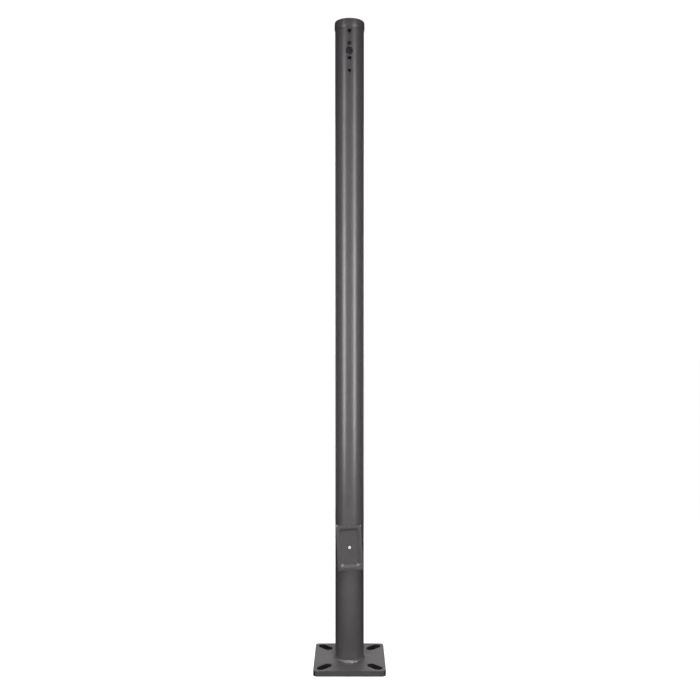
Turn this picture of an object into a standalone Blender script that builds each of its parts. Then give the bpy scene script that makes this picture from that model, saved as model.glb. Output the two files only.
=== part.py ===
"""Round steel light pole on a square anchor base.

Metres, +Z up. The origin is on the ground at the middle of the base plate. The handhole and the
drilled fixture pattern face -Y. The parts are a slotted base plate, a welded tube shaft, a dished
handhole cover held by one screw and a clamp bar, the grounding hardware inside, and a slip-over cap.
"""

import math

import bmesh
import bpy
from mathutils import Matrix

# General
GAP = 0.0003  # air left between two pieces that touch
TURN_STEPS = 64  # facets round the shaft and everything that fits it
ARC_STEPS = 5  # facets in one corner of a rounded outline
OVERSHOOT = 0.004  # how far a cutter runs past the face that it cuts
OUTWARD = Matrix.Rotation(math.radians(90), 4, "X")  # turns +Z to -Y, out of the handhole
INWARD = Matrix.Rotation(math.radians(-90), 4, "X")  # turns +Z to +Y, into the back wall
CUT_INSIDE = -0.012  # world Y where a cutter of the front wall starts, well inside the shaft
CUT_OUTSIDE = -0.060  # world Y where it ends, outside every piece

# Shaft: 4 in round tube, 11 gauge wall
SHAFT_RADIUS = 0.0508
SHAFT_WALL = 0.00304
SHAFT_BORE = SHAFT_RADIUS - SHAFT_WALL
SHAFT_FOOT = 0.0066
SHAFT_TOP = 2.2637

# Base plate: 3/4 in steel, slots on the diagonals for an 8 1/2 to 11 in bolt circle
PLATE_SIDE = 0.250
PLATE_THICKNESS = 0.01905
PLATE_CORNER = 0.014
PLATE_EDGE = 0.0018
SLOT_WIDTH = 0.030
SLOT_TRAVEL = 0.03175
SLOT_BOLT_CIRCLE = 0.24765
BASE_WELD_LEG = 0.008
ROOT_WELD_LEG = 0.0038
FILLET = ((0.0, 1.0), (0.42, 0.70), (0.78, 0.36), (1.0, 0.0))  # shares of the leg, from shaft to plate

# Fixture pattern drilled in the front wall
DRILL_HEIGHT = 2.154
WIRE_HOLE = 0.0254
FIXTURE_HOLE = 0.0130
FIXTURE_OFFSETS = (-0.0685, -0.026, 0.026, 0.0685)
HOLE_STEPS = 24

# Handhole and its reinforcing rim
HANDHOLE_HEIGHT = 0.4245
OPENING_HALF_WIDTH = 0.032
OPENING_HALF_HEIGHT = 0.0635
OPENING_CORNER = 0.020
RIM_THICKNESS = 0.0032
RIM_BACK = -0.024
RIM_WELD = 0.003
BAND_REACH = 0.12  # half the height of the round surfaces that trim the pieces at the handhole

# Cover: a flat-faced dish with a skirt that follows the shaft, sitting slightly turned
COVER_TURN = math.radians(-3.0)
COVER_FACE = -0.0575
COVER_HALF_WIDTH = 0.0447
COVER_HALF_HEIGHT = 0.0790
COVER_CORNER = 0.008
COVER_EDGE = 0.0012
COVER_SHEET = 0.0020
COVER_SLOPE_SHEET = 0.0011  # the sheet measured across, on the dish's sloping wall
COVER_DROP = -0.0016  # middle of the outline below the screw
DISH_DEPTH = 0.0055
MOUTH_HALF_WIDTH = 0.0368
MOUTH_HALF_HEIGHT = 0.0686
MOUTH_CORNER = 0.014
FLOOR_HALF_WIDTH = 0.0252
FLOOR_HALF_HEIGHT = 0.0592
FLOOR_CORNER = 0.008
FLOOR_FACE = COVER_FACE + DISH_DEPTH
GASKET_THICKNESS = 0.0015
GASKET_WIDTH = 0.0075

# Cover screw: 1/4-20 button head, its washer, retainer, clamp bar and nut
SCREW_RADIUS = 0.0031
SCREW_CLEARANCE = 0.00345
SCREW_LENGTH = 0.0405
SCREW_TIP = (0.0009, 0.0012)  # chamfer at the screw's tip, as (inset, length)
HEAD_RADIUS = 0.0058
HEAD_HEIGHT = 0.0034
HEAD_FLAT = 0.45  # share of the head's radius that is flat on top
HEAD_RIM = 0.12  # share of the head's height that is below its dome
HEAD_STEPS = 5
SOCKET_ACROSS = 0.0040
SOCKET_DEPTH = 0.0018
WASHER_RADIUS = 0.0076
WASHER_THICKNESS = 0.0012
WASHER_FACE = FLOOR_FACE - GAP - WASHER_THICKNESS
HEAD_SEAT = WASHER_FACE - GAP
RETAINER_FACE = -0.0356
RETAINER_THICKNESS = 0.0010
RETAINER_RADIUS = 0.0066
BAR_WIDTH = 0.019
BAR_LENGTH = 0.152
BAR_THICKNESS = 0.00476
BAR_EDGE = 0.0008
BAR_FACE = RIM_BACK + GAP
NUT_ACROSS = 0.0111
NUT_THICKNESS = 0.0056
NUT_FACE = BAR_FACE + BAR_THICKNESS + GAP

# Grounding provision on the back wall, opposite the handhole: 1/2-13 bolt in a welded boss
BOSS_RADIUS = 0.0115
BOSS_FACE = 0.034
BOSS_BACK = 0.055  # past the back wall, to which the boss and its weld are trimmed
BOSS_WELD = 0.0035
BOSS_WELD_LIFT = 0.0021  # from the back wall to the outer edge of the weld
GROUND_BOLT_RADIUS = 0.0062
GROUND_CLEARANCE = 0.0066
GROUND_BOLT_ACROSS = 0.01905
GROUND_BOLT_HEAD = 0.0079
GROUND_BOLT_REACH = 0.0125
GROUND_WASHER_RADIUS = 0.0130
GROUND_WASHER_THICKNESS = 0.0022
LUG_WIDTH = 0.017
LUG_TONGUE = 0.0032
LUG_TONGUE_TOP = 0.0115
LUG_BLOCK_HEIGHT = 0.014
LUG_BLOCK_DEPTH = 0.0135
LUG_BLOCK_CENTRE = -0.0215
LUG_WIRE_RADIUS = 0.0032
LUG_WIRE_DEPTH = 0.0051  # from the lug's back to the axis of its wire hole
LUG_SCREW_RADIUS = 0.0032
LUG_SCREW_LENGTH = 0.0070
LUG_SCREW_PROUD = 0.0010
DRIVER_SLOT = (0.0012, 0.0015)  # width and depth of the slot in the lug screw

# Slip-over cap
CAP_LIP = 2.2366
CAP_TOP = 2.2668
CAP_LIP_RADIUS = 0.0519
CAP_BELLY_RADIUS = 0.05285
CAP_WALL = 0.00085
CAP_CROWN = 0.0003  # rise of the top above its rounded shoulder
CAP_DRAFT = 0.0004  # how much narrower the skirt is at the shoulder than at its belly
CAP_TAPER = 0.008  # height over which the skirt narrows to the lip
CAP_CORNER = 0.0042
CAP_CORNER_STEPS = 5

# Colour, roughness and metallic value of each finish
FINISHES = {
    "powder_coat": ((0.075, 0.070, 0.072), 0.45, 0.2),
    "weld_coated": ((0.085, 0.080, 0.082), 0.40, 0.2),
    "stainless": ((0.62, 0.61, 0.60), 0.28, 1.0),
    "zinc_plated": ((0.50, 0.51, 0.53), 0.35, 0.9),
    "bare_weld": ((0.16, 0.15, 0.15), 0.55, 0.7),
    "tinned_aluminium": ((0.70, 0.71, 0.72), 0.32, 1.0),
    "neoprene": ((0.020, 0.020, 0.021), 0.80, 0.0),
    "nylon": ((0.055, 0.055, 0.055), 0.55, 0.0),
}


def clear_scene():
    for obj in list(bpy.data.objects):
        bpy.data.objects.remove(obj, do_unlink=True)


def new_collection(name, hidden=False):
    collection = bpy.data.collections.new(name)
    bpy.context.scene.collection.children.link(collection)
    collection.hide_render = hidden
    return collection


def make_finish(name):
    colour, roughness, metallic = FINISHES[name]
    finish = bpy.data.materials.new(name)
    finish.use_nodes = True
    shader = finish.node_tree.nodes["Principled BSDF"]
    shader.inputs["Base Color"].default_value = (*colour, 1.0)
    shader.inputs["Roughness"].default_value = roughness
    shader.inputs["Metallic"].default_value = metallic
    return finish


clear_scene()
PARTS = new_collection("round_light_pole")
CUTTERS = new_collection("cutters", hidden=True)
MATERIALS = {name: make_finish(name) for name in FINISHES}


def add_object(name, mesh, collection, placing=Matrix.Identity(4)):
    obj = bpy.data.objects.new(name, mesh)
    obj.matrix_world = placing
    collection.objects.link(obj)
    return obj


def part(obj, name, finish):
    """Gives a solid its node name and finish, and shades its round faces smooth."""
    obj.name = name
    obj.data.name = name
    obj.data.materials.append(MATERIALS[finish])
    obj.data.shade_smooth()
    obj.data.set_sharp_from_angle(angle=math.radians(35))
    return obj


def helper(obj):
    """Turns a solid into a cutter: never rendered, drawn as wire."""
    PARTS.objects.unlink(obj)
    CUTTERS.objects.link(obj)
    obj.hide_render = True
    obj.display_type = "WIRE"
    return obj


def boolean(obj, cutter, operation="DIFFERENCE"):
    modifier = obj.modifiers.new(operation.lower() + "_" + cutter.name, "BOOLEAN")
    modifier.operation = operation
    modifier.solver = "EXACT"
    modifier.object = cutter


def solid(name, build, placing=Matrix.Identity(4)):
    """An object in the parts collection whose mesh the function build fills."""
    shape = bmesh.new()
    build(shape)
    bmesh.ops.recalc_face_normals(shape, faces=shape.faces)
    mesh = bpy.data.meshes.new(name)
    shape.to_mesh(mesh)
    shape.free()
    return add_object(name, mesh, PARTS, placing)


def cylinder(name, radius, low, high, placing=Matrix.Identity(4), steps=TURN_STEPS):
    """A cylinder, or a prism of few steps, along the placing's Z axis from low to high."""

    def build(shape):
        middle = Matrix.Translation((0, 0, (low + high) / 2))
        bmesh.ops.create_cone(
            shape,
            cap_ends=True,
            segments=steps,
            radius1=radius,
            radius2=radius,
            depth=high - low,
            matrix=middle,
        )

    return solid(name, build, placing)


def hexagon(name, across_flats, low, high, placing):
    return cylinder(name, across_flats / math.sqrt(3), low, high, placing, steps=6)


def block(name, size, centre, placing=Matrix.Identity(4), edge=0.0):
    """A box with all its edges bevelled by edge."""

    def build(shape):
        scale = Matrix.Diagonal((*size, 1.0))
        bmesh.ops.create_cube(shape, size=1.0, matrix=Matrix.Translation(centre) @ scale)
        if edge:
            bmesh.ops.bevel(shape, geom=shape.edges[:], offset=edge, segments=1, affect="EDGES")

    return solid(name, build, placing)


def turned(name, profile, placing=Matrix.Identity(4), closed=False, steps=TURN_STEPS):
    """A profile of (radius, height) points, outer side first from the top down, turned about Z."""
    mesh = bpy.data.meshes.new(name)
    edges = [(i, i + 1) for i in range(len(profile) - 1)]
    if closed:
        edges.append((len(profile) - 1, 0))
    mesh.from_pydata([(radius, 0.0, height) for radius, height in profile], edges, [])
    obj = add_object(name, mesh, PARTS, placing)
    screw = obj.modifiers.new("turn", "SCREW")
    screw.angle = math.tau
    screw.steps = steps
    screw.render_steps = steps
    screw.use_merge_vertices = True
    screw.merge_threshold = 0.00001
    return obj


def tube(name, inner, outer, low, high, placing=Matrix.Identity(4), steps=TURN_STEPS):
    profile = [(outer, high), (outer, low), (inner, low), (inner, high)]
    return turned(name, profile, placing, closed=True, steps=steps)


def rounded_outline(half_width, half_height, corner):
    """Points round a rounded rectangle, as (across, up)."""
    points = []
    for quarter in range(4):
        across = (half_width - corner) * (1 if quarter in (0, 3) else -1)
        up = (half_height - corner) * (1 if quarter in (0, 1) else -1)
        for step in range(ARC_STEPS + 1):
            angle = math.radians(90) * (quarter + step / ARC_STEPS)
            points.append((across + corner * math.cos(angle), up + corner * math.sin(angle)))
    return points


def loft(name, sections, placing=Matrix.Identity(4), closed=False):
    """Joins sections of (outline, height) along Z; closed joins the last to the first."""

    def build(shape):
        rings = []
        for outline, height in sections:
            rings.append([shape.verts.new((across, up, height)) for across, up in outline])
        pairs = list(zip(rings, rings[1:]))
        if closed:
            pairs.append((rings[-1], rings[0]))
        else:
            shape.faces.new(rings[0])
            shape.faces.new(rings[-1])
        for ring, following in pairs:
            for i, vert in enumerate(ring):
                beside = (i + 1) % len(ring)
                shape.faces.new((vert, ring[beside], following[beside], following[i]))

    return solid(name, build, placing)


def rounded_prism(name, half_width, half_height, corner, low, high, placing):
    outline = rounded_outline(half_width, half_height, corner)
    return loft(name, [(outline, low), (outline, high)], placing)


def rounded_frame(name, inner, width, low, high, placing):
    """A rounded rectangular ring, width wide outside inner, which is (half width, half height, corner)."""
    inside = rounded_outline(*inner)
    outside = rounded_outline(*(size + width for size in inner))
    sections = [(inside, low), (outside, low), (outside, high), (inside, high)]
    return loft(name, sections, placing, closed=True)


HANDHOLE = Matrix.Translation((0, 0, HANDHOLE_HEIGHT)) @ OUTWARD
TURNED_COVER = Matrix.Translation((0, 0, HANDHOLE_HEIGHT)) @ Matrix.Rotation(COVER_TURN, 4, "Y") @ OUTWARD
GROUND_POINT = Matrix.Translation((0, 0, HANDHOLE_HEIGHT)) @ INWARD
OPENING = (OPENING_HALF_WIDTH, OPENING_HALF_HEIGHT, OPENING_CORNER)
RIM_OUTLINE = tuple(size + RIM_THICKNESS for size in OPENING)


def out(depth):
    """Height in a handhole frame, where Z points outward, of a world Y value."""
    return -depth


def make_base_plate():
    half = PLATE_SIDE / 2
    plate = rounded_prism("plate", half, half, PLATE_CORNER, 0.0, PLATE_THICKNESS, Matrix.Identity(4))
    bore = cylinder("plate_bore", SHAFT_RADIUS + GAP, -OVERSHOOT, PLATE_THICKNESS + OVERSHOOT)
    boolean(plate, helper(bore))
    for quarter in range(4):
        turn = Matrix.Rotation(math.radians(45 + 90 * quarter), 4, "Z")
        place = turn @ Matrix.Translation((SLOT_BOLT_CIRCLE / 2, 0, 0))
        slot = rounded_prism(
            f"slot_{quarter + 1}",
            (SLOT_TRAVEL + SLOT_WIDTH) / 2,
            SLOT_WIDTH / 2,
            SLOT_WIDTH * 0.4999,
            -OVERSHOOT,
            PLATE_THICKNESS + OVERSHOOT,
            place,
        )
        boolean(plate, helper(slot))
    bevel = plate.modifiers.new("rounded_edges", "BEVEL")
    bevel.width = PLATE_EDGE
    bevel.segments = 2
    bevel.limit_method = "ANGLE"
    bevel.angle_limit = math.radians(60)
    return part(plate, "base_plate", "powder_coat")


def make_welds():
    """The fillet round the shaft on top of the plate, and the one inside the plate below the shaft's end."""
    inner = SHAFT_RADIUS + GAP
    low = PLATE_THICKNESS + GAP
    outer_profile = [(inner + BASE_WELD_LEG * across, low + BASE_WELD_LEG * up) for across, up in FILLET]
    outer_profile.append((inner, low))
    part(turned("weld", outer_profile, closed=True), "base_weld", "weld_coated")
    outer = SHAFT_RADIUS
    high = SHAFT_FOOT - GAP
    root_profile = [(outer, high), (outer, high - ROOT_WELD_LEG), (outer - ROOT_WELD_LEG, high)]
    part(turned("weld", root_profile, closed=True), "root_weld", "bare_weld")


def make_shaft():
    shaft = tube("tube", SHAFT_BORE, SHAFT_RADIUS, SHAFT_FOOT, SHAFT_TOP)
    cutout = [size + GAP for size in RIM_OUTLINE]
    opening = rounded_prism("handhole_opening", *cutout, out(CUT_INSIDE), out(CUT_OUTSIDE), HANDHOLE)
    boolean(shaft, helper(opening))
    holes = [(WIRE_HOLE, 0.0)] + [(FIXTURE_HOLE, offset) for offset in FIXTURE_OFFSETS]
    for number, (diameter, offset) in enumerate(holes, start=1):
        place = Matrix.Translation((0, 0, DRILL_HEIGHT + offset)) @ OUTWARD
        span = (out(CUT_INSIDE), out(CUT_OUTSIDE))
        boolean(shaft, helper(cylinder(f"hole_{number}", diameter / 2, *span, place, HOLE_STEPS)))
    return part(shaft, "shaft", "powder_coat")


def make_handhole_rim():
    """The strip bent round the opening, flush with the shaft outside, and the seam that holds it inside."""
    low = HANDHOLE_HEIGHT - BAND_REACH
    high = HANDHOLE_HEIGHT + BAND_REACH
    rim = rounded_frame("rim", OPENING, RIM_THICKNESS, out(RIM_BACK), out(CUT_OUTSIDE), HANDHOLE)
    face = cylinder("rim_face", SHAFT_RADIUS, low, high)
    boolean(rim, helper(face), "INTERSECT")
    part(rim, "handhole_rim", "powder_coat")
    outline = [size + GAP for size in RIM_OUTLINE]
    seam = rounded_frame("seam", outline, RIM_WELD, out(RIM_BACK), out(CUT_OUTSIDE), HANDHOLE)
    band = tube("seam_band", SHAFT_BORE - RIM_WELD, SHAFT_BORE - GAP, low, high)
    boolean(seam, helper(band), "INTERSECT")
    part(seam, "rim_weld", "bare_weld")


def dish_outline(half_width, half_height, corner, centre):
    return [(across, up + centre) for across, up in rounded_outline(half_width, half_height, corner)]


def make_cover():
    """The cover is one sheet: floor, sloping wall, rim, rounded edge and skirt, then back inside."""
    wide = (COVER_HALF_WIDTH, COVER_HALF_HEIGHT, COVER_CORNER)
    edge = [size - COVER_EDGE for size in wide]
    lining = [size - COVER_SHEET for size in wide]
    mouth = (MOUTH_HALF_WIDTH, MOUTH_HALF_HEIGHT, MOUTH_CORNER)
    floor = (FLOOR_HALF_WIDTH, FLOOR_HALF_HEIGHT, FLOOR_CORNER)
    skirt_end = out(CUT_INSIDE)
    sections = [
        (dish_outline(*floor, 0.0), out(FLOOR_FACE)),
        (dish_outline(*mouth, 0.0), out(COVER_FACE)),
        (dish_outline(*edge, COVER_DROP), out(COVER_FACE)),
        (dish_outline(*wide, COVER_DROP), out(COVER_FACE + COVER_EDGE)),
        (dish_outline(*wide, COVER_DROP), skirt_end),
        (dish_outline(*lining, COVER_DROP), skirt_end),
        (dish_outline(*lining, COVER_DROP), out(COVER_FACE + COVER_SHEET)),
        (dish_outline(*(size + COVER_SLOPE_SHEET for size in mouth), 0.0), out(COVER_FACE + COVER_SHEET)),
        (dish_outline(*(size + COVER_SLOPE_SHEET for size in floor), 0.0), out(FLOOR_FACE + COVER_SHEET)),
    ]
    cover = loft("dish", sections, TURNED_COVER)
    seat_radius = SHAFT_RADIUS + GASKET_THICKNESS + 2 * GAP
    seat = cylinder("saddle", seat_radius, HANDHOLE_HEIGHT - BAND_REACH, HANDHOLE_HEIGHT + BAND_REACH)
    # Inside the opening the dish reaches past the shaft's surface, so nothing is trimmed there.
    clearance = rounded_prism("saddle_opening", *OPENING, out(CUT_INSIDE), out(CUT_OUTSIDE), HANDHOLE)
    boolean(seat, helper(clearance))
    boolean(cover, helper(seat))
    hole = cylinder("cover_hole", SCREW_CLEARANCE, out(CUT_INSIDE), out(CUT_OUTSIDE), HANDHOLE, HOLE_STEPS)
    boolean(cover, helper(hole))
    return part(cover, "handhole_cover", "powder_coat")


def make_gasket():
    inner_size = (COVER_HALF_WIDTH - GASKET_WIDTH, COVER_HALF_HEIGHT - GASKET_WIDTH, COVER_CORNER)
    inside = dish_outline(*inner_size, COVER_DROP)
    outside = dish_outline(*(size + GASKET_WIDTH for size in inner_size), COVER_DROP)
    near = out(CUT_INSIDE)
    far = out(CUT_OUTSIDE)
    sections = [(inside, near), (outside, near), (outside, far), (inside, far)]
    gasket = loft("gasket", sections, TURNED_COVER, closed=True)
    inner = SHAFT_RADIUS + GAP
    low = HANDHOLE_HEIGHT - BAND_REACH
    band = tube("gasket_band", inner, inner + GASKET_THICKNESS, low, low + 2 * BAND_REACH)
    boolean(gasket, helper(band), "INTERSECT")
    return part(gasket, "cover_gasket", "neoprene")


def make_cover_screw():
    """A button-head socket screw, its washer and the push-on retainer that keeps it on the cover."""
    seat = out(HEAD_SEAT)
    profile = [(0.0, seat + HEAD_HEIGHT)]
    for step in range(1, HEAD_STEPS + 1):
        angle = math.radians(90) * step / HEAD_STEPS
        across = HEAD_RADIUS * (HEAD_FLAT + (1 - HEAD_FLAT) * math.sin(angle))
        profile.append((across, seat + HEAD_HEIGHT * (HEAD_RIM + (1 - HEAD_RIM) * math.cos(angle))))
    tip_inset, tip_length = SCREW_TIP
    tip = seat - SCREW_LENGTH
    profile += [
        (HEAD_RADIUS, seat),
        (SCREW_RADIUS, seat),
        (SCREW_RADIUS, tip + tip_length),
        (SCREW_RADIUS - tip_inset, tip),
        (0.0, tip),
    ]
    screw = turned("screw", profile, HANDHOLE, steps=HOLE_STEPS)
    top = seat + HEAD_HEIGHT
    socket = hexagon("socket", SOCKET_ACROSS, top - SOCKET_DEPTH, top + OVERSHOOT, HANDHOLE)
    boolean(screw, helper(socket))
    part(screw, "cover_screw", "stainless")
    rings = (
        ("screw_washer", WASHER_RADIUS, WASHER_FACE, WASHER_THICKNESS, "nylon"),
        ("screw_retainer", RETAINER_RADIUS, RETAINER_FACE, RETAINER_THICKNESS, "nylon"),
    )
    for name, radius, face, thickness, finish in rings:
        ring = tube(name, SCREW_CLEARANCE, radius, out(face + thickness), out(face), HANDHOLE, HOLE_STEPS)
        part(ring, name, finish)


def make_clamp():
    """The bar that spans the rim from behind, and the nut welded to its back."""
    bar_middle = (0, 0, out(BAR_FACE + BAR_THICKNESS / 2))
    bar = block("bar", (BAR_WIDTH, BAR_LENGTH, BAR_THICKNESS), bar_middle, HANDHOLE, BAR_EDGE)
    nut_back = NUT_FACE + NUT_THICKNESS
    nut = hexagon("nut", NUT_ACROSS, out(nut_back), out(NUT_FACE), HANDHOLE)
    hole_span = (out(nut_back + OVERSHOOT), out(BAR_FACE - OVERSHOOT))
    hole = helper(cylinder("clamp_hole", SCREW_CLEARANCE, *hole_span, HANDHOLE, HOLE_STEPS))
    boolean(bar, hole)
    boolean(nut, hole)
    part(bar, "clamp_bar", "zinc_plated")
    part(nut, "clamp_nut", "zinc_plated")


def make_ground_boss():
    """A tapped boss on the back wall, with the weld round it. Both end on the shaft's inner wall."""
    boss = cylinder("boss", BOSS_RADIUS, BOSS_FACE, BOSS_BACK, GROUND_POINT, HOLE_STEPS)
    weld_inner = BOSS_RADIUS + GAP
    weld_outer = weld_inner + BOSS_WELD
    weld_edge = SHAFT_BORE - BOSS_WELD_LIFT
    weld_profile = [
        (weld_outer, BOSS_BACK),
        (weld_outer, weld_edge),
        (weld_inner, weld_edge - BOSS_WELD),
        (weld_inner, BOSS_BACK),
    ]
    weld = turned("boss_seam", weld_profile, GROUND_POINT, closed=True, steps=HOLE_STEPS)
    low = HANDHOLE_HEIGHT - BAND_REACH
    wall = helper(cylinder("back_wall", SHAFT_BORE - GAP, low, low + 2 * BAND_REACH))
    boolean(boss, wall, "INTERSECT")
    boolean(weld, wall, "INTERSECT")
    tapping_span = (BOSS_FACE - OVERSHOOT, BOSS_BACK)
    boolean(boss, helper(cylinder("boss_tapping", GROUND_CLEARANCE, *tapping_span, GROUND_POINT, HOLE_STEPS)))
    part(boss, "ground_boss", "zinc_plated")
    part(weld, "boss_weld", "bare_weld")


def make_ground_hardware():
    """Stacked on the boss from its face towards the middle of the shaft: lug tongue, washer, bolt head."""
    lug_face = BOSS_FACE - GAP - LUG_TONGUE
    washer_face = lug_face - GAP - GROUND_WASHER_THICKNESS
    head_seat = washer_face - GAP
    washer = tube(
        "washer",
        GROUND_CLEARANCE,
        GROUND_WASHER_RADIUS,
        washer_face,
        washer_face + GROUND_WASHER_THICKNESS,
        GROUND_POINT,
        HOLE_STEPS,
    )
    part(washer, "ground_washer", "zinc_plated")

    bolt = hexagon("bolt", GROUND_BOLT_ACROSS, head_seat - GROUND_BOLT_HEAD, head_seat, GROUND_POINT)
    shank_span = (head_seat - GROUND_BOLT_HEAD / 2, BOSS_FACE + GROUND_BOLT_REACH)
    shank = cylinder("bolt_shank", GROUND_BOLT_RADIUS, *shank_span, GROUND_POINT, HOLE_STEPS)
    boolean(bolt, helper(shank), "UNION")
    part(bolt, "ground_bolt", "zinc_plated")

    # In the ground frame X is across, Y points down and Z points at the back wall.
    tongue_length = LUG_TONGUE_TOP - LUG_BLOCK_CENTRE
    tongue_middle = (0, -(LUG_TONGUE_TOP + LUG_BLOCK_CENTRE) / 2, lug_face + LUG_TONGUE / 2)
    lug = block("lug", (LUG_WIDTH, tongue_length, LUG_TONGUE), tongue_middle, GROUND_POINT)
    block_back = lug_face + LUG_TONGUE
    block_middle = (0, -LUG_BLOCK_CENTRE, block_back - LUG_BLOCK_DEPTH / 2)
    block_size = (LUG_WIDTH, LUG_BLOCK_HEIGHT, LUG_BLOCK_DEPTH)
    barrel = block("lug_block", block_size, block_middle, GROUND_POINT)
    boolean(lug, helper(barrel), "UNION")
    bolt_span = (lug_face - OVERSHOOT, block_back + OVERSHOOT)
    bolt_hole = cylinder("lug_bolt_hole", GROUND_CLEARANCE, *bolt_span, GROUND_POINT, HOLE_STEPS)
    boolean(lug, helper(bolt_hole))
    wire_depth = block_back - LUG_WIRE_DEPTH
    wire_place = Matrix.Translation((0, wire_depth, HANDHOLE_HEIGHT + LUG_BLOCK_CENTRE))
    wire_reach = LUG_BLOCK_HEIGHT / 2 + OVERSHOOT
    wire_hole = cylinder("lug_wire_hole", LUG_WIRE_RADIUS, -wire_reach, wire_reach, wire_place, HOLE_STEPS)
    boolean(lug, helper(wire_hole))
    screw_place = GROUND_POINT @ Matrix.Translation((0, -LUG_BLOCK_CENTRE, 0))
    front = block_back - LUG_BLOCK_DEPTH
    screw_span = (front - OVERSHOOT, wire_depth)
    screw_hole = cylinder("lug_screw_hole", LUG_SCREW_RADIUS + GAP, *screw_span, screw_place, HOLE_STEPS)
    boolean(lug, helper(screw_hole))
    part(lug, "ground_lug", "tinned_aluminium")

    screw_front = front - LUG_SCREW_PROUD
    screw_tip = screw_front + LUG_SCREW_LENGTH
    lug_screw = cylinder("set_screw", LUG_SCREW_RADIUS, screw_front, screw_tip, screw_place, HOLE_STEPS)
    slot_width, slot_depth = DRIVER_SLOT
    slot_size = (2 * LUG_SCREW_RADIUS + OVERSHOOT, slot_width, 2 * slot_depth)
    boolean(lug_screw, helper(block("driver_slot", slot_size, (0, 0, screw_front), screw_place)))
    part(lug_screw, "lug_screw", "zinc_plated")


def make_cap():
    """A thin pressed cap: flat top, rounded shoulder and a slightly bellied skirt over the shaft."""
    shoulder = CAP_BELLY_RADIUS - CAP_DRAFT
    profile = [(0.0, CAP_TOP)]
    for step in range(CAP_CORNER_STEPS + 1):
        angle = math.radians(90) * step / CAP_CORNER_STEPS
        across = shoulder - CAP_CORNER * (1 - math.sin(angle))
        profile.append((across, CAP_TOP - CAP_CROWN - CAP_CORNER * (1 - math.cos(angle))))
    ceiling = SHAFT_TOP + GAP
    middle = (CAP_LIP + CAP_TOP) / 2
    profile += [
        (CAP_BELLY_RADIUS, middle),
        (CAP_BELLY_RADIUS, CAP_LIP + CAP_TAPER),
        (CAP_LIP_RADIUS, CAP_LIP),
        (SHAFT_RADIUS + GAP, CAP_LIP),
        (CAP_BELLY_RADIUS - CAP_WALL, CAP_LIP + CAP_TAPER),
        (CAP_BELLY_RADIUS - CAP_WALL, middle),
        (SHAFT_RADIUS + GAP, ceiling),
        (0.0, ceiling),
    ]
    return part(turned("cap", profile), "pole_cap", "powder_coat")


make_base_plate()
make_shaft()
make_welds()
make_handhole_rim()
make_cover()
make_gasket()
make_cover_screw()
make_clamp()
make_ground_boss()
make_ground_hardware()
make_cap()
bpy.context.view_layer.update()
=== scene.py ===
"""Looks of the round steel light pole: fine meshes, procedural finishes, soft studio light and the camera."""

import math

import bmesh
import bpy
from mathutils import Matrix, Vector


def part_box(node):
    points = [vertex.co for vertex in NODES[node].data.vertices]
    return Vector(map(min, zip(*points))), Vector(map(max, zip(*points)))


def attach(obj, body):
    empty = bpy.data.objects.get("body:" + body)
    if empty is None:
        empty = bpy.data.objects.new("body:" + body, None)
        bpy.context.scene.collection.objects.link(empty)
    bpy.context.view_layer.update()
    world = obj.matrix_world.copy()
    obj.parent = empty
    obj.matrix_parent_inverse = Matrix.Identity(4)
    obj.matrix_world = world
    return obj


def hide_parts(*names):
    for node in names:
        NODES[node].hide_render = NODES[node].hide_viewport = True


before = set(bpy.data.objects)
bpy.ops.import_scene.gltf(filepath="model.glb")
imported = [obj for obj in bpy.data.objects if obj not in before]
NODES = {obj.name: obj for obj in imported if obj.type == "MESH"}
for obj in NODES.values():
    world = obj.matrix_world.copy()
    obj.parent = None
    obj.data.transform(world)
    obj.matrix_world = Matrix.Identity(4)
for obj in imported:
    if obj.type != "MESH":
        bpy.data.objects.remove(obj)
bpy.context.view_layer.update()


def extent(node):
    """Lowest corner, highest corner and middle of a CAD node."""
    low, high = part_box(node)
    return low, high, (low + high) / 2


# ---------------------------------------------------------------- sizes taken from the frame

SHAFT_LOW, SHAFT_HIGH, _ = extent("shaft")
SHAFT_WALL = 0.00304  # 11 gauge
SHAFT_RADIUS = (SHAFT_HIGH.x - SHAFT_LOW.x) / 2
SHAFT_BORE = SHAFT_RADIUS - SHAFT_WALL
PLATE_LOW, PLATE_HIGH, _ = extent("base_plate")
WELD_LOW, WELD_HIGH, _ = extent("base_weld")
CAP_LOW, CAP_HIGH, _ = extent("pole_cap")
COVER_LOW, _, _ = extent("handhole_cover")
SCREW_LOW, SCREW_HIGH, SCREW_MIDDLE = extent("cover_screw")
WASHER_LOW, WASHER_HIGH, _ = extent("screw_washer")
RIM_LOW, RIM_HIGH, _ = extent("handhole_rim")

GAP = 0.0003
HANDHOLE_HEIGHT = SCREW_MIDDLE.z
TURN_STEPS = 192
FINE_TURN_STEPS = 256
HOLE_STEPS = 64
ARC_STEPS = 10
OUTWARD = Matrix.Rotation(math.radians(90), 4, "X")
HANDHOLE = Matrix.Translation((0, 0, HANDHOLE_HEIGHT)) @ OUTWARD

# Cuts through the shaft's front wall: where they start and end, measured from its axis
CUT_START = 0.030
OPENING_START = 0.012
CUT_END = 0.060

# Edges of those cuts, and of the shaft's ends
OPENING_CORNER = 0.0235
BROKEN_EDGE = 0.0006
COUNTERSINK = 0.0005
COUNTERSINK_LIFT = 0.0001
COUNTERSINK_DEPTH = 0.0008
DRILL_FLARE = 0.0100

# A face counts as the shaft's round wall when it is this near to it and faces outward this squarely.
WALL_SLACK = 0.0006
WALL_FACING = 0.99

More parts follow.
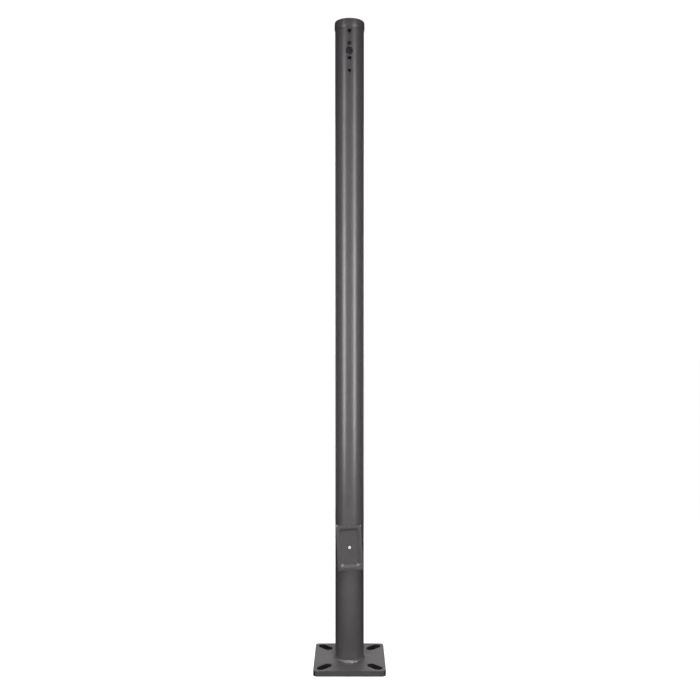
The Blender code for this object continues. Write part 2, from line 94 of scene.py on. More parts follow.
# Cover
COVER_TURN = math.radians(-3.0)
TURNED_COVER = Matrix.Translation((0, 0, HANDHOLE_HEIGHT)) @ Matrix.Rotation(COVER_TURN, 4, "Y") @ OUTWARD
COVER_FACE = COVER_LOW.y
COVER_HALF_WIDTH = 0.0447
COVER_HALF_HEIGHT = 0.0790
COVER_CORNER = 0.008
COVER_DROP = -0.0016
COVER_SHEET = 0.0020
COVER_EDGE = 0.0012
SKIRT_END = 0.012
MOUTH = (0.0368, 0.0686, 0.014)  # half width, half height and corner radius
FLOOR = (0.0252, 0.0592, 0.008)
FLOOR_FACE = WASHER_HIGH.y + GAP
WALL_EASING = 0.25  # share of the dish's slope that is eased at both ends
WALL_STEPS = 8
EDGE_STEPS = 4
LINING_SHARE = 0.55  # how much the back of the dish is larger than its front, in sheets
RIM_CLEARANCE = (0.032, 0.0635, 0.020)
SADDLE_RADIUS = SHAFT_RADIUS + 0.0021
SADDLE_REACH = 0.12

# Cover screw, 1/4-20 button head
SCREW_HOLE_RADIUS = 0.00345
SCREW_HEAD_HEIGHT = 0.0034
SCREW_FLAT = 0.0030
SCREW_BRIM = 0.0004
SCREW_MAJOR = 0.0031
SCREW_CORE = 0.00255
SCREW_PLAIN = 0.0060
SCREW_CHAMFER = 0.0004
SOCKET_RADIUS = 0.0023
SOCKET_DEPTH = 0.0018
THREAD_PITCH = 0.00127
THREAD_STEPS = 24
THREAD_SINK = 0.00015
DOME_STEPS = 8
WASHER_EDGE = 0.0004

# Fixture pattern
DRILL_HEIGHT = 2.154
HOLES = ((0.0254, 0.0), (0.0130, -0.0685), (0.0130, -0.026), (0.0130, 0.026), (0.0130, 0.0685))

# Anchor plate and its slots
SLOT_WIDTH = 0.030
SLOT_TRAVEL = 0.03175
SLOT_REACH = 0.24765 / 2
SLOT_CORNER = SLOT_WIDTH * 0.4999
PLATE_CORNER = 0.014
PLATE_EDGE = 0.0018
CUT_PAST = 0.004

# Foot weld. Its toe and top are shares of the leg that the CAD bead has.
BEAD_TOE = 0.85
BEAD_TOP = 0.82
BEAD_RIPPLES = 40
BEAD_STEPS = 540
BEAD_ARC_STEPS = 8

# Cap
CAP_WALL = 0.00085
CAP_CORNER = 0.0042
CAP_CROWN = 0.0003
CAP_DRAFT = 0.0004


# ---------------------------------------------------------------- mesh tools


def new_object(name, mesh, placing=Matrix.Identity(4)):
    """Links a mesh to the scene at a place."""
    obj = bpy.data.objects.new(name, mesh)
    bpy.context.scene.collection.objects.link(obj)
    obj.matrix_world = placing
    return obj


def solid(name, build, placing=Matrix.Identity(4)):
    """An object from a function that fills a bmesh."""
    shape = bmesh.new()
    build(shape)
    bmesh.ops.recalc_face_normals(shape, faces=shape.faces)
    mesh = bpy.data.meshes.new(name)
    shape.to_mesh(mesh)
    shape.free()
    return new_object(name, mesh, placing)


def cylinder(name, radius, low, high, placing=Matrix.Identity(4), steps=TURN_STEPS):
    def build(shape):
        bmesh.ops.create_cone(
            shape,
            cap_ends=True,
            segments=steps,
            radius1=radius,
            radius2=radius,
            depth=high - low,
            matrix=Matrix.Translation((0, 0, (low + high) / 2)),
        )

    return solid(name, build, placing)


def rings_to_mesh(name, rings, placing=Matrix.Identity(4), closed=False):
    """Joins rings of points. Open ends are capped, and closed joins the last ring to the first."""

    def build(shape):
        made = [[shape.verts.new(point) for point in ring] for ring in rings]
        pairs = list(zip(made, made[1:]))
        if closed:
            pairs.append((made[-1], made[0]))
        else:
            shape.faces.new(made[0])
            shape.faces.new(made[-1])
        for ring, following in pairs:
            for i, vert in enumerate(ring):
                beside = (i + 1) % len(ring)
                shape.faces.new((vert, ring[beside], following[beside], following[i]))

    return solid(name, build, placing)


def turned(name, profile, placing=Matrix.Identity(4), steps=TURN_STEPS, closed=False):
    """Turns (radius, height) points about Z. A radius of 0 at an open end closes the shape there."""
    ends = [point for point in (profile[0], profile[-1]) if point[0] == 0 and not closed]
    body = [point for point in profile if point[0] > 0 or closed]
    rings = []
    for radius, height in body:
        ring = []
        for i in range(steps):
            angle = math.tau * i / steps
            ring.append((radius * math.cos(angle), radius * math.sin(angle), height))
        rings.append(ring)
    obj = rings_to_mesh(name, rings, placing, closed)
    if ends:
        shape = bmesh.new()
        shape.from_mesh(obj.data)
        caps = [face for face in shape.faces if len(face.verts) == steps]
        for face in caps:
            bmesh.ops.poke(shape, faces=[face])
        shape.to_mesh(obj.data)
        shape.free()
    return obj


def arc(centre, radius, start, end, steps):
    """Points on an arc, angles in degrees."""
    points = []
    for step in range(steps + 1):
        angle = math.radians(start + (end - start) * step / steps)
        points.append((centre[0] + radius * math.cos(angle), centre[1] + radius * math.sin(angle)))
    return points


def rounded_outline(half_width, half_height, corner, centre=0.0):
    """Points round a rectangle with rounded corners."""
    points = []
    for quarter in range(4):
        across = (half_width - corner) * (1 if quarter in (0, 3) else -1)
        up = (half_height - corner) * (1 if quarter in (0, 1) else -1) + centre
        for step in range(ARC_STEPS + 1):
            angle = math.radians(90) * (quarter + step / ARC_STEPS)
            points.append((across + corner * math.cos(angle), up + corner * math.sin(angle)))
    return points


def loft(name, sections, placing=Matrix.Identity(4)):
    """Joins (outline, height) sections into a capped solid."""
    rings = [[(across, up, height) for across, up in outline] for outline, height in sections]
    return rings_to_mesh(name, rings, placing)


def rounded_prism(name, size, low, high, placing=Matrix.Identity(4)):
    """A straight prism on a rounded rectangle of (half width, half height, corner radius)."""
    outline = rounded_outline(*size)
    return loft(name, [(outline, low), (outline, high)], placing)


def apply_modifiers(obj):
    """Bakes an object's modifiers into its mesh."""
    graph = bpy.context.evaluated_depsgraph_get()
    mesh = bpy.data.meshes.new_from_object(obj.evaluated_get(graph))
    obj.modifiers.clear()
    obj.data = mesh


def cut(obj, cutters):
    """Cuts the cutters out of obj one by one, and removes them."""
    for cutter in cutters:
        modifier = obj.modifiers.new("cut", "BOOLEAN")
        modifier.operation = "DIFFERENCE"
        modifier.object = cutter
    bpy.context.view_layer.update()
    apply_modifiers(obj)
    for cutter in cutters:
        bpy.data.objects.remove(cutter)


def round_edges(obj, width, segments, angle):
    """Rounds the edges that are sharper than an angle in degrees."""
    bevel = obj.modifiers.new("rounded_edges", "BEVEL")
    bevel.width = width
    bevel.segments = segments
    bevel.limit_method = "ANGLE"
    bevel.angle_limit = math.radians(angle)
    bevel.harden_normals = True


def straighten_wall(obj, radius):
    """Gives the round wall of a tube along Z its true normals, so that cut faces shade without streaks."""
    mesh = obj.data
    normals = [Vector(corner.vector) for corner in mesh.corner_normals]
    for polygon in mesh.polygons:
        outward = Vector((polygon.center.x, polygon.center.y, 0.0))
        if outward.length < radius - WALL_SLACK or polygon.normal.dot(outward.normalized()) < WALL_FACING:
            continue
        for loop in polygon.loop_indices:
            point = mesh.vertices[mesh.loops[loop].vertex_index].co
            normals[loop] = Vector((point.x, point.y, 0.0)).normalized()
    mesh.normals_split_custom_set(normals)


def finish_piece(obj, name, node, body, material, sharp=35):
    """Names a piece, gives it its finish and ties it to the frame in place of its CAD node.

    Edges sharper than the angle sharp, in degrees, stay crisp.
    """
    obj.name = name
    obj.data.name = name
    obj.data.materials.clear()
    obj.data.materials.append(material)
    obj.data.shade_smooth()
    obj.data.set_sharp_from_angle(angle=math.radians(sharp))
    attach(obj, body)
    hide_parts(node)


# ---------------------------------------------------------------- materials


class Finish:
    """A Principled material with helpers for its procedural inputs."""

    def __init__(self, name, roughness, metallic=0.0, specular=0.5):
        self.material = bpy.data.materials.new(name)
        self.material.use_nodes = True
        self.tree = self.material.node_tree
        self.shader = self.tree.nodes["Principled BSDF"]
        self.shader.inputs["Roughness"].default_value = roughness
        self.shader.inputs["Metallic"].default_value = metallic
        self.shader.inputs["Specular IOR Level"].default_value = specular
        self.place = self.node("ShaderNodeTexCoord").outputs["Object"]

    def node(self, kind, **settings):
        """Adds a shader node with its settings."""
        made = self.tree.nodes.new(kind)
        for key, value in settings.items():
            setattr(made, key, value)
        return made

    def link(self, source, target):
        self.tree.links.new(source, target)

    def noise(self, scale, detail=2.0, roughness=0.5, stretch=None):
        """Noise over the piece's own coordinates, in features a metre."""
        texture = self.node("ShaderNodeTexNoise")
        texture.inputs["Scale"].default_value = scale
        texture.inputs["Detail"].default_value = detail
        texture.inputs["Roughness"].default_value = roughness
        source = self.place
        if stretch:
            mapping = self.node("ShaderNodeMapping")
            mapping.inputs["Scale"].default_value = stretch
            self.link(source, mapping.inputs["Vector"])
            source = mapping.outputs["Vector"]
        self.link(source, texture.inputs["Vector"])
        return texture.outputs["Fac"]

    def spread(self, value, low, high, start=0.3, end=0.7):
        """Maps start..end of a value to low..high."""
        mapped = self.node("ShaderNodeMapRange")
        mapped.inputs["From Min"].default_value = start
        mapped.inputs["From Max"].default_value = end
        mapped.inputs["To Min"].default_value = low
        mapped.inputs["To Max"].default_value = high
        self.link(value, mapped.inputs["Value"])
        return mapped.outputs["Result"]

    def mix_colour(self, factor, first, second):
        """Mixes two colours, each given as numbers or as a socket."""
        mix = self.node("ShaderNodeMix", data_type="RGBA")
        self.link(factor, mix.inputs["Factor"])
        for socket, colour in (("A", first), ("B", second)):
            target = [i for i in mix.inputs if i.name == socket and i.type == "RGBA"][0]
            if isinstance(colour, bpy.types.NodeSocket):
                self.link(colour, target)
            else:
                target.default_value = (*colour, 1.0)
        return [o for o in mix.outputs if o.type == "RGBA"][0]

    def inside(self, radius):
        """1 nearer to the Z axis than radius, and 0 beyond it."""
        flat = self.node("ShaderNodeVectorMath", operation="MULTIPLY")
        flat.inputs[1].default_value = (1.0, 1.0, 0.0)
        self.link(self.place, flat.inputs[0])
        length = self.node("ShaderNodeVectorMath", operation="LENGTH")
        self.link(flat.outputs["Vector"], length.inputs[0])
        return self.less(length.outputs["Value"], radius)

    def less(self, value, limit):
        """1 where a value is below a limit, and 0 elsewhere."""
        below = self.node("ShaderNodeMath", operation="LESS_THAN")
        below.inputs[1].default_value = limit
        self.link(value, below.inputs[0])
        return below.outputs["Value"]

    def within(self, limits):
        """1 where |X|, |Y| and |Z| are all below the limits, and 0 elsewhere."""
        apart = self.node("ShaderNodeVectorMath", operation="ABSOLUTE")
        self.link(self.place, apart.inputs[0])
        split = self.node("ShaderNodeSeparateXYZ")
        self.link(apart.outputs["Vector"], split.inputs["Vector"])
        result = None
        for axis, limit in zip("XYZ", limits):
            below = self.less(split.outputs[axis], limit)
            if result:
                both = self.node("ShaderNodeMath", operation="MULTIPLY")
                self.link(result, both.inputs[0])
                self.link(below, both.inputs[1])
                below = both.outputs["Value"]
            result = below
        return result

    def colour(self, source):
        self.link(source, self.shader.inputs["Base Color"])

    def roughness(self, source):
        self.link(source, self.shader.inputs["Roughness"])

    def bump(self, *layers):
        """Stacks bump layers of (height, strength, distance)."""
        below = None
        for source, strength, distance in layers:
            made = self.node("ShaderNodeBump")
            made.inputs["Strength"].default_value = strength
            made.inputs["Distance"].default_value = distance
            self.link(source, made.inputs["Height"])
            if below:
                self.link(below, made.inputs["Normal"])
            below = made.outputs["Normal"]
        self.link(below, self.shader.inputs["Normal"])


COAT_COLOUR = (0.088, 0.0815, 0.0835)
COAT_MOTTLE = 1.10
DUST_COLOUR = (0.20, 0.19, 0.18)
# Painted shade: near-black colour for the plate's slots, where shade falls.
SLOT_SHADE_COLOUR = (0.018, 0.017, 0.017)
BORE_COLOURS = ((0.26, 0.28, 0.34), (0.40, 0.42, 0.48))


def powder_coat(name, roughness, tone=1.0, dust=0.0, bore=0.0, rim=None):
    """Satin bronze-grey powder coat: orange peel, mottling and dust.

    Inside a bore it is bare steel. Closer to the middle than rim, which takes in the slots, it is painted
    shade: near-black colour that stands in for the shade in the slots.
    """
    made = Finish(name, roughness, metallic=0.15)
    base = [tone * value for value in COAT_COLOUR]
    light = [value * COAT_MOTTLE for value in base]
    mottle = made.spread(made.noise(scale=35.0, detail=3.0), 0.0, 1.0)
    shade = made.mix_colour(mottle, base, light)
    if dust:
        film = made.spread(made.noise(scale=60.0, detail=4.0, roughness=0.6), 0.0, dust, 0.45, 0.75)
        shade = made.mix_colour(film, shade, DUST_COLOUR)
    if bore:
        scale = made.spread(made.noise(scale=90.0, detail=4.0, roughness=0.6), 0.0, 1.0)
        steel = made.mix_colour(scale, *BORE_COLOURS)
        shade = made.mix_colour(made.inside(bore), shade, steel)
    # Painted shade: inside the rim limits, which take in the slots, the coat turns near-black.
    if rim:
        shade = made.mix_colour(made.within(rim), shade, SLOT_SHADE_COLOUR)
    made.colour(shade)
    made.roughness(made.spread(made.noise(scale=420.0, detail=2.0), roughness - 0.03, roughness + 0.04))
    peel = made.noise(scale=900.0, detail=2.0, roughness=0.55)
    grain = made.noise(scale=3200.0, detail=1.0)
    made.bump((peel, 0.10, 0.0004), (grain, 0.05, 0.0002))
    return made.material


def coated_weld():
    """The same coat over weld metal: glossier on the ripples, with small pits."""
    made = Finish("coated_weld_finish", 0.30, metallic=0.25, specular=0.6)
    mottle = made.spread(made.noise(scale=180.0, detail=3.0), 0.0, 1.0)
    made.colour(made.mix_colour(mottle, (0.070, 0.065, 0.067), (0.105, 0.098, 0.100)))
    made.roughness(made.spread(made.noise(scale=300.0, detail=2.0), 0.22, 0.38))
    ripples = made.noise(scale=420.0, detail=3.0, roughness=0.6)
    pits = made.noise(scale=1500.0, detail=2.0)
    made.bump((ripples, 0.25, 0.0008), (pits, 0.12, 0.0003))
    return made.material


def bare_weld():
    """Uncoated weld metal, dark with a brown bloom."""
    made = Finish("bare_weld_finish", 0.5, metallic=0.7)
    tint = made.spread(made.noise(scale=90.0, detail=3.0), 0.0, 1.0)
    made.colour(made.mix_colour(tint, (0.10, 0.09, 0.09), (0.26, 0.21, 0.17)))
    made.roughness(made.spread(made.noise(scale=260.0, detail=2.0), 0.38, 0.62))
    made.bump((made.noise(scale=500.0, detail=3.0, roughness=0.6), 0.4, 0.0008))
    return made.material


def stainless():
    """Bead-blasted stainless, pale and satin."""
    made = Finish("stainless_finish", 0.36, metallic=0.55, specular=0.7)
    lines = made.noise(scale=900.0, detail=2.0, stretch=(1.0, 0.08, 1.0))
    made.colour(made.mix_colour(made.spread(lines, 0.0, 1.0), (0.80, 0.74, 0.72), (0.92, 0.86, 0.84)))
    made.roughness(made.spread(lines, 0.32, 0.42))
    made.bump((lines, 0.06, 0.0001))
    return made.material


def zinc_plate():
    """Bright zinc with a faint bloom."""
    made = Finish("zinc_plate_finish", 0.32, metallic=1.0)
    bloom = made.spread(made.noise(scale=140.0, detail=3.0, roughness=0.6), 0.0, 1.0)
    made.colour(made.mix_colour(bloom, (0.44, 0.46, 0.50), (0.62, 0.62, 0.60)))
    made.roughness(made.spread(made.noise(scale=500.0, detail=2.0), 0.24, 0.42))
    made.bump((made.noise(scale=1200.0, detail=2.0), 0.08, 0.0002))
    return made.material


def tinned_aluminium():
    """Tin-plated aluminium with fine drawing lines."""
    made = Finish("tinned_aluminium_finish", 0.30, metallic=1.0)
    streaks = made.noise(scale=700.0, detail=2.0, stretch=(1.0, 1.0, 0.1))
    made.colour(made.mix_colour(made.spread(streaks, 0.0, 1.0), (0.62, 0.63, 0.64), (0.76, 0.77, 0.78)))
    made.roughness(made.spread(streaks, 0.22, 0.40))
    made.bump((streaks, 0.10, 0.0002))
    return made.material


def neoprene():
    """Matte black rubber."""
    made = Finish("neoprene_finish", 0.8, specular=0.3)
    bloom = made.noise(scale=400.0, detail=2.0)
    made.colour(made.mix_colour(bloom, (0.012, 0.012, 0.013), (0.030, 0.030, 0.031)))
    made.roughness(made.spread(made.noise(scale=250.0), 0.70, 0.90))
    made.bump((made.noise(scale=1600.0, detail=3.0, roughness=0.7), 0.35, 0.0002))
    return made.material


def nylon():
    """Moulded dark nylon."""
    made = Finish("nylon_finish", 0.5, specular=0.4)
    cloud = made.noise(scale=300.0, detail=2.0)
    made.colour(made.mix_colour(cloud, (0.030, 0.029, 0.029), (0.048, 0.046, 0.046)))
    made.roughness(made.spread(made.noise(scale=350.0), 0.42, 0.60))
    made.bump((made.noise(scale=1100.0, detail=2.0), 0.12, 0.0002))
    return made.material


BORE_SKIN = 0.0004
# Limits of the plate's painted slot shade, just inside its top face and outer sides.
SHADE_BOX_INSET = Vector((0.002, 0.002, 0.0006))
PLATE_SHADE_BOX = PLATE_HIGH - SHADE_BOX_INSET
COAT = powder_coat("shaft_coat", roughness=0.32, bore=SHAFT_BORE + BORE_SKIN)
PLATE_COAT = powder_coat("plate_coat", roughness=0.36, dust=0.05, rim=PLATE_SHADE_BOX)
COVER_COAT = powder_coat("cover_coat", roughness=0.34, tone=0.90)
CAP_COAT = powder_coat("cap_coat", roughness=0.36)
COATED_WELD = coated_weld()
BARE_WELD = bare_weld()
STAINLESS = stainless()
ZINC = zinc_plate()
TINNED = tinned_aluminium()
NEOPRENE = neoprene()
NYLON = nylon()


# ---------------------------------------------------------------- pieces


def make_shaft():
    """The tube, with broken edges at its holes and ends."""
    edge = BROKEN_EDGE
    low, high = SHAFT_LOW.z, SHAFT_HIGH.z
    profile = [
        (SHAFT_RADIUS - edge, high),
        (SHAFT_RADIUS, high - edge),
        (SHAFT_RADIUS, low + edge),
        (SHAFT_RADIUS - edge, low),
        (SHAFT_BORE, low),
        (SHAFT_BORE, high),
    ]
    tube = turned("tube", profile, closed=True, steps=FINE_TURN_STEPS)
    half_width = RIM_HIGH.x + GAP
    half_height = (RIM_HIGH.z - RIM_LOW.z) / 2 + GAP
    opening = (half_width, half_height, OPENING_CORNER)
    cutters = [rounded_prism("opening", opening, OPENING_START, CUT_END, HANDHOLE)]
    for diameter, offset in HOLES:
        place = Matrix.Translation((0, 0, DRILL_HEIGHT + offset)) @ OUTWARD
        radius = diameter / 2
        drill = [
            (0.0, CUT_END),
            (radius + DRILL_FLARE, CUT_END),
            (radius + COUNTERSINK, SHAFT_RADIUS + COUNTERSINK_LIFT),
            (radius, SHAFT_RADIUS - COUNTERSINK_DEPTH),
            (radius, CUT_START),
            (0.0, CUT_START),
        ]
        cutters.append(turned("drill", drill, place, steps=HOLE_STEPS))
    cut(tube, cutters)
    finish_piece(tube, "pole_shaft", "shaft", "pole", COAT)
    straighten_wall(tube, SHAFT_RADIUS)


def make_base_plate():
    """The square plate, bored for the shaft, with a slot on each diagonal."""
    half = (PLATE_HIGH.x - PLATE_LOW.x) / 2
    thickness = PLATE_HIGH.z
    plate = rounded_prism("plate", (half, half, PLATE_CORNER), 0.0, thickness)
    cut_span = (-CUT_PAST, thickness + CUT_PAST)
    cutters = [cylinder("bore", SHAFT_RADIUS + GAP, *cut_span)]
    for quarter in range(4):
        turn = Matrix.Rotation(math.radians(45 + 90 * quarter), 4, "Z")
        place = turn @ Matrix.Translation((SLOT_REACH, 0, 0))
        size = ((SLOT_TRAVEL + SLOT_WIDTH) / 2, SLOT_WIDTH / 2, SLOT_CORNER)
        cutters.append(rounded_prism("slot", size, *cut_span, place))
    cut(plate, cutters)
    round_edges(plate, PLATE_EDGE, segments=4, angle=60)
    finish_piece(plate, "anchor_plate", "base_plate", "pole", PLATE_COAT, 50)


def make_base_weld():
    """A fillet laid in short overlapping ripples, with an uneven toe."""
    inner = SHAFT_RADIUS + GAP
    leg = WELD_HIGH.x - inner
    low = WELD_LOW.z
    rings = []
    for i in range(BEAD_STEPS):
        angle = math.tau * i / BEAD_STEPS
        drift = 0.2 * math.sin(4 * angle + 0.8)
        drift += 0.5 * math.sin(13 * angle + 2.1)
        drift += 0.3 * math.sin(23 * angle)
        ripple = abs(math.sin(BEAD_RIPPLES * angle + 1.5 * math.sin(5 * angle)))
        toe = leg * (BEAD_TOE + 0.10 * drift + 0.05 * ripple)
        top = leg * (BEAD_TOP - 0.13 * drift + 0.05 * ripple)
        sag = 0.532 - 0.07 * ripple - 0.07 * drift
        ring = []
        for step in range(BEAD_ARC_STEPS + 1):
            turn = math.radians(90) * step / BEAD_ARC_STEPS
            across = math.cos(turn)
            up = math.sin(turn)
            radius = inner + toe * (across - sag * across * up)
            height = low + top * (up - sag * across * up)
            ring.append((radius * math.cos(angle), radius * math.sin(angle), height))
        ring.append((inner * math.cos(angle), inner * math.sin(angle), low))
        rings.append(ring)
    bead = rings_to_mesh("bead", rings, closed=True)
    finish_piece(bead, "foot_weld_bead", "base_weld", "pole", COATED_WELD, 60)


def make_cap():
    """A pressed cap: nearly flat top, rounded shoulder, bellied skirt and a small turned-in lip."""
    lip = CAP_LOW.z
    top = CAP_HIGH.z
    belly = CAP_HIGH.x
    inner = belly - CAP_WALL
    corner_middle = (belly - CAP_DRAFT - CAP_CORNER, top - CAP_CROWN - CAP_CORNER)
    profile = [(0.0, top), (0.020, top - 0.00004), (0.036, top - 0.00016)]
    profile += arc(corner_middle, CAP_CORNER, 90, 0, ARC_STEPS)
    profile += [
        (belly, lip + 0.0150),
        (belly, lip + 0.0080),
        (belly - 0.00035, lip + 0.0035),
        (belly - 0.00085, lip + 0.0008),
        (belly - 0.00115, lip),
        (belly - 0.00170, lip),
        (belly - 0.00160, lip + 0.0010),
        (inner, lip + 0.0080),
        (inner, lip + 0.0150),
        (SHAFT_RADIUS + 0.0005, SHAFT_HIGH.z - 0.0020),
        (SHAFT_RADIUS, SHAFT_HIGH.z + GAP),
        (0.0, SHAFT_HIGH.z + GAP),
    ]
    cap = turned("cap", profile)
    finish_piece(cap, "slip_over_cap", "pole_cap", "cap", CAP_COAT, 40)


def dish_section(size, grow, centre, height):
    """A section of the cover: a rounded rectangle grown all round, at a height from the shaft's axis."""
    return (rounded_outline(*(value + grow for value in size), centre=centre), height)


def make_cover():
    """Pressed cover: soft-edged dish, flat rim and a skirt that meets the round shaft."""
    sheet = COVER_SHEET
    face = -COVER_FACE
    floor = -FLOOR_FACE
    wide = (COVER_HALF_WIDTH, COVER_HALF_HEIGHT, COVER_CORNER)
    sections = [
        (rounded_outline(*(value * 0.9 for value in FLOOR)), floor),
        dish_section(FLOOR, -COVER_EDGE, 0.0, floor),
    ]
    # Sloping wall between floor and mouth, eased at both ends.
    for step in range(WALL_STEPS + 1):
        share = step / WALL_STEPS
        eased = share * share * (3 - 2 * share)
        rise = WALL_EASING * eased + (1 - WALL_EASING) * share
        size = [low + (high - low) * share for low, high in zip(FLOOR, MOUTH)]
        sections.append((rounded_outline(*size), floor + (face - floor) * rise))
    sections.append(dish_section(MOUTH, COVER_EDGE, 0.0, face))
    for step in range(EDGE_STEPS + 1):
        angle = math.radians(90) * step / EDGE_STEPS
        inset = COVER_EDGE * (1 - math.sin(angle))
        sections.append(dish_section(wide, -inset, COVER_DROP, face - COVER_EDGE * (1 - math.cos(angle))))
    sections.append(dish_section(wide, 0.0, COVER_DROP, SKIRT_END))
    sections.append(dish_section(wide, -sheet, COVER_DROP, SKIRT_END))
    sections.append(dish_section(wide, -sheet, COVER_DROP, face - sheet))
    lining = sheet * LINING_SHARE
    sections.append(dish_section(MOUTH, lining, 0.0, face - sheet))
    sections.append(dish_section(FLOOR, lining, 0.0, floor - sheet))
    cover = loft("cover", sections, TURNED_COVER)
    # The skirt is cut to the shaft, except in front of the opening, where the dish hangs free.
    seat_span = (HANDHOLE_HEIGHT - SADDLE_REACH, HANDHOLE_HEIGHT + SADDLE_REACH)
    seat = cylinder("saddle", SADDLE_RADIUS, *seat_span, steps=FINE_TURN_STEPS)
    clearance = rounded_prism("clearance", RIM_CLEARANCE, 0.010, 0.070, HANDHOLE)
    cut(seat, [clearance])
    hole = cylinder("hole", SCREW_HOLE_RADIUS, 0.040, CUT_END, HANDHOLE, steps=HOLE_STEPS)
    cut(cover, [seat, hole])
    finish_piece(cover, "dished_cover", "handhole_cover", "cover", COVER_COAT, 50)


def make_cover_screw():
    """Button-head socket screw with a cut thread on its shank."""
    top = -SCREW_LOW.y
    seat = top - SCREW_HEAD_HEIGHT
    brim = seat + SCREW_BRIM
    tip = -SCREW_HIGH.y
    radius = (SCREW_HIGH.x - SCREW_LOW.x) / 2
    thread_start = seat - SCREW_PLAIN - SCREW_CHAMFER
    profile = [(0.0, top), (SCREW_FLAT, top)]
    for step in range(1, DOME_STEPS + 1):
        angle = math.radians(90) * step / DOME_STEPS
        across = SCREW_FLAT + (radius - SCREW_FLAT) * math.sin(angle)
        profile.append((across, brim + (top - brim) * math.cos(angle) ** 1.3))
    profile += [
        (radius, seat + 0.0001),
        (radius - 0.0001, seat),
        (SCREW_MAJOR, seat),
        (SCREW_MAJOR, seat - SCREW_PLAIN),
        (SCREW_CORE, thread_start),
        (SCREW_CORE, tip + 2 * SCREW_CHAMFER),
        (SCREW_MAJOR - 3 * SCREW_CHAMFER, tip),
        (0.0, tip),
    ]
    screw = turned("screw", profile, HANDHOLE, steps=96)
    socket = cylinder("socket", SOCKET_RADIUS, top - SOCKET_DEPTH, top + SOCKET_DEPTH, HANDHOLE, steps=6)
    cut(screw, [socket])
    finish_piece(screw, "cover_screw_body", "cover_screw", "screw", STAINLESS)
    thread = make_thread(thread_start, tip + 0.0010)
    thread.matrix_world = HANDHOLE
    thread.data.materials.append(STAINLESS)
    thread.data.shade_smooth()
    thread.data.set_sharp_from_angle(angle=math.radians(35))
    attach(thread, "screw")


def make_thread(high, low):
    """A helical ridge of triangular section, its ends run out into the core."""
    root = SCREW_CORE - THREAD_SINK
    turns = (high - low) / THREAD_PITCH
    steps = int(turns * THREAD_STEPS)
    rings = []
    for i in range(steps + 1):
        share = i / steps
        angle = math.tau * turns * share
        height = low + (high - low) * share
        fade = min(1.0, share * turns / 0.7, (1 - share) * turns / 0.7)
        crest = root + (SCREW_MAJOR - root) * max(fade, 0.05)
        foot = THREAD_PITCH * 0.36
        flat = THREAD_PITCH * 0.06
        ring = []
        for radius, offset in ((root, -foot), (crest, -flat), (crest, flat), (root, foot)):
            ring.append((radius * math.cos(angle), radius * math.sin(angle), height + offset))
        rings.append(ring)
    return rings_to_mesh("cover_screw_thread", rings)


def make_washer():
    """The flat washer under the screw's head, with rounded edges."""
    outer = (WASHER_HIGH.x - WASHER_LOW.x) / 2
    back, front = -WASHER_HIGH.y, -WASHER_LOW.y
    edge = WASHER_EDGE
    profile = [(SCREW_HOLE_RADIUS, front), (outer - edge, front)]
    profile += arc((outer - edge, front - edge), edge, 90, 0, EDGE_STEPS)
    profile += arc((outer - edge, back + edge), edge, 0, -90, EDGE_STEPS)
    profile.append((SCREW_HOLE_RADIUS, back))
    washer = turned("washer", profile, HANDHOLE, steps=HOLE_STEPS, closed=True)
    finish_piece(washer, "sealing_washer", "screw_washer", "washer", NYLON)


def recoat_cad_nodes():
    """The hidden simple pieces keep their CAD shape under a real finish."""
    finishes = {
        "root_weld": BARE_WELD,
        "rim_weld": BARE_WELD,
        "boss_weld": BARE_WELD,
        "handhole_rim": COAT,
        "cover_gasket": NEOPRENE,
        "screw_retainer": NYLON,
        "ground_boss": ZINC,
        "ground_washer": ZINC,
        "lug_screw": ZINC,
    }
    for name, material in finishes.items():
        obj = NODES[name]
        obj.data.materials.clear()
        obj.data.materials.append(material)


def make_hardware():
    """Bar, nut, bolt and lug with broken edges."""
    details = (
        ("clamp_bar", "handhole_bar", "zinc_plate", ZINC, 0.0006),
        ("clamp_nut", "welded_nut", "zinc_plate", ZINC, 0.0005),
        ("ground_bolt", "grounding_bolt", "zinc_plate", ZINC, 0.0006),
        ("ground_lug", "grounding_lug", "tinned_aluminium", TINNED, 0.0005),
    )
    for node, name, slot, material, edge in details:
        source = NODES[node]
        piece = new_object(name, source.data.copy(), source.matrix_world.copy())
        round_edges(piece, edge, segments=3, angle=30)
        finish_piece(piece, name, node, "pole", material)


make_shaft()
make_base_plate()
make_base_weld()
make_cap()
make_cover()
make_cover_screw()
make_washer()
recoat_cad_nodes()
make_hardware()


# ---------------------------------------------------------------- floor, backdrop, light and camera


ROOM_GLOW = 0.10
BACKDROP_GLOW = 1.05
SIDES = (-1, 1)


def level_sheet(name, half_size, height):
    """A level square sheet centred under the pole."""

    def build(shape):
        bmesh.ops.create_grid(shape, x_segments=4, y_segments=4, size=half_size)

    sheet = solid(name, build)
    sheet.location.z = height
    return sheet


def make_stage():
    """A white floor that runs out of sight, and under it a dark cloth that only light rays see."""
    floor = level_sheet("studio_floor", 30.0, -0.0002)
    paper = Finish("studio_paper", 0.9, specular=0.1)
    paper.colour(paper.mix_colour(paper.noise(3.0), (0.24, 0.24, 0.24), (0.26, 0.26, 0.26)))
    paper.shader.inputs["Emission Color"].default_value = (1.0, 1.0, 1.0, 1.0)
    paper.shader.inputs["Emission Strength"].default_value = 0.97
    floor.data.materials.append(paper.material)
    floor.visible_diffuse = False
    floor.visible_glossy = False
    flag = level_sheet("studio_flag", 4.0, -0.0010)
    cloth = Finish("studio_cloth", 0.9, specular=0.1)
    cloth.colour(cloth.mix_colour(cloth.noise(3.0), (0.08, 0.08, 0.08), (0.10, 0.10, 0.10)))
    flag.data.materials.append(cloth.material)
    flag.visible_camera = False


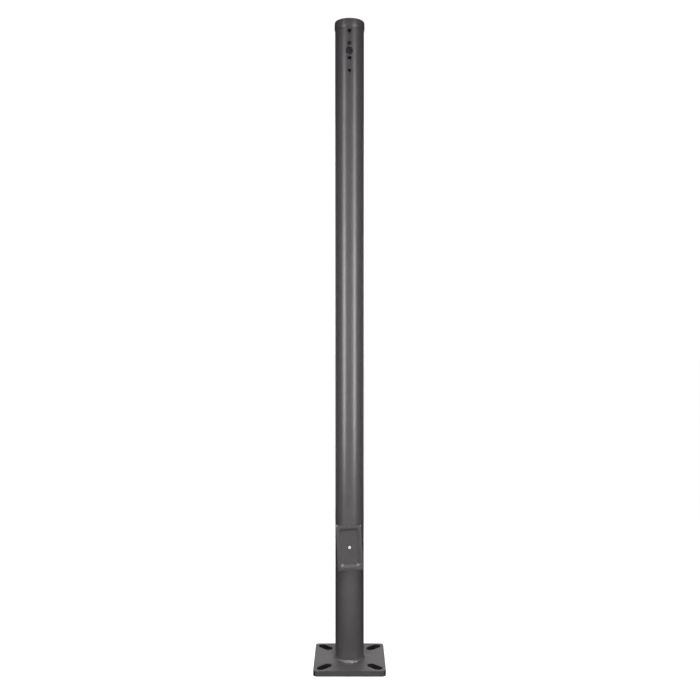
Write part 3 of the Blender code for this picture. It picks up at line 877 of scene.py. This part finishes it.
def make_world():
    """White to the camera, dim for everything that the object reflects."""
    world = bpy.data.worlds.new("studio")
    bpy.context.scene.world = world
    world.use_nodes = True
    tree = world.node_tree
    tree.nodes.clear()
    path = tree.nodes.new("ShaderNodeLightPath")
    mix = tree.nodes.new("ShaderNodeMixShader")
    output = tree.nodes.new("ShaderNodeOutputWorld")
    tree.links.new(path.outputs["Is Camera Ray"], mix.inputs["Fac"])
    for socket, strength in ((1, ROOM_GLOW), (2, BACKDROP_GLOW)):
        background = tree.nodes.new("ShaderNodeBackground")
        background.inputs["Color"].default_value = (1.0, 1.0, 1.0, 1.0)
        background.inputs["Strength"].default_value = strength
        tree.links.new(background.outputs["Background"], mix.inputs[socket])
    tree.links.new(mix.outputs["Shader"], output.inputs["Surface"])


def softbox(name, azimuth, distance, height, size, power, aim=None, **visible):
    """A rectangular light at an azimuth from the front, aimed level at the pole or at a point."""
    light = bpy.data.lights.new(name, "AREA")
    light.shape = "RECTANGLE"
    light.size, light.size_y = size
    light.energy = power
    obj = bpy.data.objects.new(name, light)
    bpy.context.scene.collection.objects.link(obj)
    angle = math.radians(azimuth)
    obj.location = (distance * math.sin(angle), -distance * math.cos(angle), height)
    target = Vector(aim or (0.0, 0.0, height))
    obj.rotation_mode = "QUATERNION"
    obj.rotation_quaternion = (target - obj.location).to_track_quat("-Z", "Y")
    obj.visible_camera = False
    for kind, shown in visible.items():
        setattr(obj, "visible_" + kind, shown)
    return obj


def make_lights():
    """Strips for the bands on the shaft, fills without reflections, and a small key from above."""
    for side, azimuth in ((1, -42), (2, 39.5)):
        softbox(f"strip_{side}", azimuth, 1.7, 1.15, (0.46, 1.3), 23, diffuse=False)
        softbox(f"high_strip_{side}", azimuth, 1.7, 2.25, (0.46, 0.9), 8.5, diffuse=False)
    for side, sign in enumerate(SIDES, 1):
        softbox(f"side_strip_{side}", 142 * sign, 1.8, 1.2, (0.5, 2.0), 1.2)
    for side, sign in enumerate(SIDES, 1):
        softbox(f"rear_strip_{side}", 163 * sign, 1.8, 1.25, (0.35, 2.2), 4, diffuse=False)
    softbox("front_fill", 4, 1.8, 1.20, (1.0, 1.5), 26, glossy=False)
    softbox("low_fill", 0, 1.5, 0.35, (2.4, 0.5), 9, glossy=False)
    softbox("rear_fill", 180, 2.2, 1.35, (1.0, 1.5), 72, glossy=False)
    key = softbox("key", 2, 0.9, 3.5, (0.9, 0.5), 4, aim=(0, -0.05, 0.2))
    key.data.spread = math.radians(45)
    softbox("backdrop_glow", 180, 2.2, 0.9, (3.2, 1.8), 6, diffuse=False)
    softbox("floor_bounce", 0, 1.4, 0.01, (1.6, 1.6), 3, aim=(0, -1.4, 3.0))


CAMERA_PLACE = (0.0016, -2.95, 1.2045)
CAMERA_DIP = math.radians(1.070)
CAMERA_LENS = 42.80
CAMERA_SHIFT = -0.0141


def make_camera():
    camera = bpy.data.cameras.new("camera")
    obj = bpy.data.objects.new("camera", camera)
    bpy.context.scene.collection.objects.link(obj)
    obj.location = CAMERA_PLACE
    obj.rotation_euler = (math.radians(90) - CAMERA_DIP, 0, 0)
    camera.sensor_width = 36.0
    camera.lens = CAMERA_LENS
    camera.shift_x = 0.0
    camera.shift_y = CAMERA_SHIFT
    bpy.context.scene.camera = obj


make_stage()
make_world()
make_lights()
make_camera()

view = bpy.context.scene.view_settings
view.view_transform = "Standard"
view.look = "None"
view.exposure = 0.0
